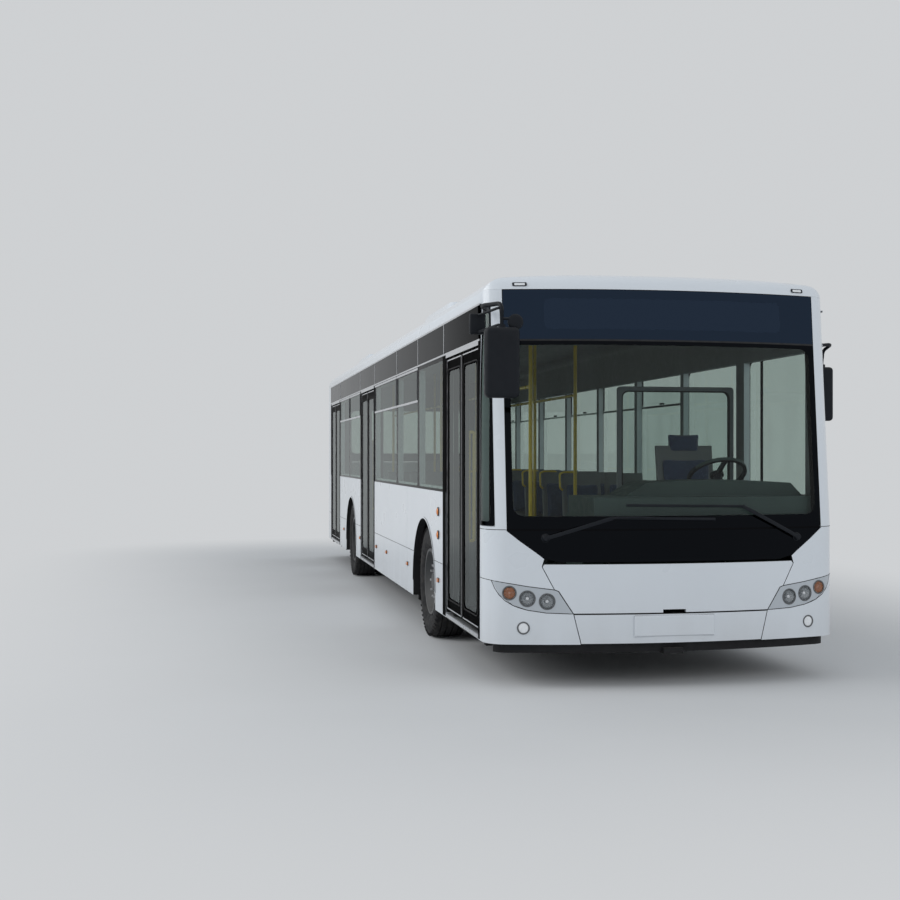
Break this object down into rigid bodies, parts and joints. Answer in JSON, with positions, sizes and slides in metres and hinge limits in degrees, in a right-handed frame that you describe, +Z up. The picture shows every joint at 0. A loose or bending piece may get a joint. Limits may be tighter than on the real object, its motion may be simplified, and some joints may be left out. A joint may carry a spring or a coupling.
{
  "type": "city bus",
  "caption": "Low-floor city bus, white body, black glazed front, door pairs on the right side that swing inward",
  "frame": {"origin": "on the ground, under the middle of the bounding box", "axes": "+X forward, +Y to the vehicle's left, +Z up"},
  "size_m": [12.26, 2.855, 2.9999],
  "materials": {
    "white_paint": "gloss white paint, slightly cool",
    "black_gloss": "black gloss panel",
    "glass": "tinted bonded glass",
    "black_frame": "black door frame, satin",
    "steel": "bare steel",
    "dark_steel": "black chassis paint",
    "grey_inner": "grey inner panel",
    "floor_grey": "grey floor covering",
    "lamp_clear": "clear lamp lens",
    "lamp_red": "red lamp lens",
    "lamp_amber": "amber lamp lens",
    "tyre": "black rubber tyre",
    "rim": "silver painted rim",
    "seat_fabric": "dark blue seat cover",
    "rail_yellow": "yellow grab rail",
    "engine_grey": "plain engine block",
    "black_plastic": "black grained plastic"
  },
  "bodies": {
    "body": {"right_wall": "white_paint", "left_wall": "white_paint", "rear_wall": "white_paint", "roof": "white_paint", "front_cap": "white_paint", "front_frame": "white_paint", "front_corners": "white_paint", "front_bumper": "white_paint", "rear_bumper": "white_paint", "windscreen": "glass", "scuttle_panel": "black_gloss", "side_windows": "glass", "window_band": "black_gloss", "headlamps": "lamp_clear", "tail_lamps": "lamp_red", "marker_lamps": "lamp_amber", "mirrors": "black_plastic", "wipers": "black_plastic", "roof_unit": "white_paint", "underframe": "dark_steel", "floor": "floor_grey", "housings": "grey_inner", "engine": "engine_grey", "front_axle": "dark_steel", "rear_axle": "dark_steel", "dashboard": "black_plastic", "driver_cabin": "grey_inner", "seats": "seat_fabric", "grab_rails": "rail_yellow"},
    "front_flap": {"front_flap": "white_paint"},
    "engine_flap": {"engine_flap": "white_paint"},
    "knuckle_left": {"knuckle_left": "dark_steel"},
    "knuckle_right": {"knuckle_right": "dark_steel"},
    "wheel_front_left": {"tyre_front_left": "tyre", "rim_front_left": "rim"},
    "wheel_front_right": {"tyre_front_right": "tyre", "rim_front_right": "rim"},
    "wheel_rear_left": {"tyre_rear_left": "tyre", "rim_rear_left": "rim"},
    "wheel_rear_right": {"tyre_rear_right": "tyre", "rim_rear_right": "rim"},
    "column_front_leading": {"front_column_leading": "steel"},
    "leaf_front_leading": {"front_leaf_leading": "black_frame", "front_glass_leading": "glass"},
    "column_front_trailing": {"front_column_trailing": "steel"},
    "leaf_front_trailing": {"front_leaf_trailing": "black_frame", "front_glass_trailing": "glass"},
    "column_middle_leading": {"middle_column_leading": "steel"},
    "leaf_middle_leading": {"middle_leaf_leading": "black_frame", "middle_glass_leading": "glass"},
    "column_middle_trailing": {"middle_column_trailing": "steel"},
    "leaf_middle_trailing": {"middle_leaf_trailing": "black_frame", "middle_glass_trailing": "glass"},
    "column_rear_leading": {"rear_column_leading": "steel"},
    "leaf_rear_leading": {"rear_leaf_leading": "black_frame", "rear_glass_leading": "glass"},
    "column_rear_trailing": {"rear_column_trailing": "steel"},
    "leaf_rear_trailing": {"rear_leaf_trailing": "black_frame", "rear_glass_trailing": "glass"}
  },
  "joints": [
    {"name": "steer_left", "type": "hinge", "parent": "body", "child": "knuckle_left", "pos_m": [3.11, 0.89, 0.479], "axis": [0, 0, 1], "range_deg": [-45, 45]},
    {"name": "steer_right", "type": "hinge", "parent": "body", "child": "knuckle_right", "pos_m": [3.11, -0.89, 0.479], "axis": [0, 0, 1], "range_deg": [-45, 45]},
    {"name": "spin_front_left", "type": "hinge", "parent": "knuckle_left", "child": "wheel_front_left", "pos_m": [3.11, 1.1, 0.479], "axis": [0, 1, 0], "continuous": true},
    {"name": "spin_front_right", "type": "hinge", "parent": "knuckle_right", "child": "wheel_front_right", "pos_m": [3.11, -1.1, 0.479], "axis": [0, 1, 0], "continuous": true},
    {"name": "spin_rear_left", "type": "hinge", "parent": "body", "child": "wheel_rear_left", "pos_m": [-2.79, 0.957, 0.479], "axis": [0, 1, 0], "continuous": true},
    {"name": "spin_rear_right", "type": "hinge", "parent": "body", "child": "wheel_rear_right", "pos_m": [-2.79, -0.957, 0.479], "axis": [0, 1, 0], "continuous": true},
    {"name": "door_front_leading", "type": "hinge", "parent": "body", "child": "column_front_leading", "pos_m": [5.466, -1.189, 1.35], "axis": [0, 0, -1], "range_deg": [0, 90]},
    {"name": "leaf_front_leading", "type": "hinge", "parent": "column_front_leading", "child": "leaf_front_leading", "pos_m": [5.176, -1.247, 1.35], "axis": [0, 0, -1], "range_deg": [-180, 0]},
    {"name": "door_front_trailing", "type": "hinge", "parent": "body", "child": "column_front_trailing", "pos_m": [4.174, -1.189, 1.35], "axis": [0, 0, 1], "range_deg": [0, 90]},
    {"name": "leaf_front_trailing", "type": "hinge", "parent": "column_front_trailing", "child": "leaf_front_trailing", "pos_m": [4.464, -1.247, 1.35], "axis": [0, 0, 1], "range_deg": [-180, 0]},
    {"name": "door_middle_leading", "type": "hinge", "parent": "body", "child": "column_middle_leading", "pos_m": [-0.354, -1.189, 1.35], "axis": [0, 0, -1], "range_deg": [0, 90]},
    {"name": "leaf_middle_leading", "type": "hinge", "parent": "column_middle_leading", "child": "leaf_middle_leading", "pos_m": [-0.644, -1.247, 1.35], "axis": [0, 0, -1], "range_deg": [-180, 0]},
    {"name": "door_middle_trailing", "type": "hinge", "parent": "body", "child": "column_middle_trailing", "pos_m": [-1.646, -1.189, 1.35], "axis": [0, 0, 1], "range_deg": [0, 90]},
    {"name": "leaf_middle_trailing", "type": "hinge", "parent": "column_middle_trailing", "child": "leaf_middle_trailing", "pos_m": [-1.356, -1.247, 1.35], "axis": [0, 0, 1], "range_deg": [-180, 0]},
    {"name": "door_rear_leading", "type": "hinge", "parent": "body", "child": "column_rear_leading", "pos_m": [-4.304, -1.189, 1.35], "axis": [0, 0, -1], "range_deg": [0, 90]},
    {"name": "leaf_rear_leading", "type": "hinge", "parent": "column_rear_leading", "child": "leaf_rear_leading", "pos_m": [-4.594, -1.247, 1.35], "axis": [0, 0, -1], "range_deg": [-180, 0]},
    {"name": "door_rear_trailing", "type": "hinge", "parent": "body", "child": "column_rear_trailing", "pos_m": [-5.596, -1.189, 1.35], "axis": [0, 0, 1], "range_deg": [0, 90]},
    {"name": "leaf_rear_trailing", "type": "hinge", "parent": "column_rear_trailing", "child": "leaf_rear_trailing", "pos_m": [-5.306, -1.247, 1.35], "axis": [0, 0, 1], "range_deg": [-180, 0]},
    {"name": "front_flap_hinge", "type": "hinge", "parent": "body", "child": "front_flap", "pos_m": [5.796, 0, 1.096], "axis": [0, -1, 0], "range_deg": [0, 65]},
    {"name": "engine_flap_hinge", "type": "hinge", "parent": "body", "child": "engine_flap", "pos_m": [-6.131, 0, 1.482], "axis": [0, 1, 0], "range_deg": [0, 80]}
  ],
  "couplings": [
    {"joint": "steer_right", "follows": "steer_left", "ratio": 1},
    {"joint": "leaf_front_leading", "follows": "door_front_leading", "ratio": -2},
    {"joint": "leaf_front_trailing", "follows": "door_front_trailing", "ratio": -2},
    {"joint": "leaf_middle_leading", "follows": "door_middle_leading", "ratio": -2},
    {"joint": "leaf_middle_trailing", "follows": "door_middle_trailing", "ratio": -2},
    {"joint": "leaf_rear_leading", "follows": "door_rear_leading", "ratio": -2},
    {"joint": "leaf_rear_trailing", "follows": "door_rear_trailing", "ratio": -2}
  ]
}
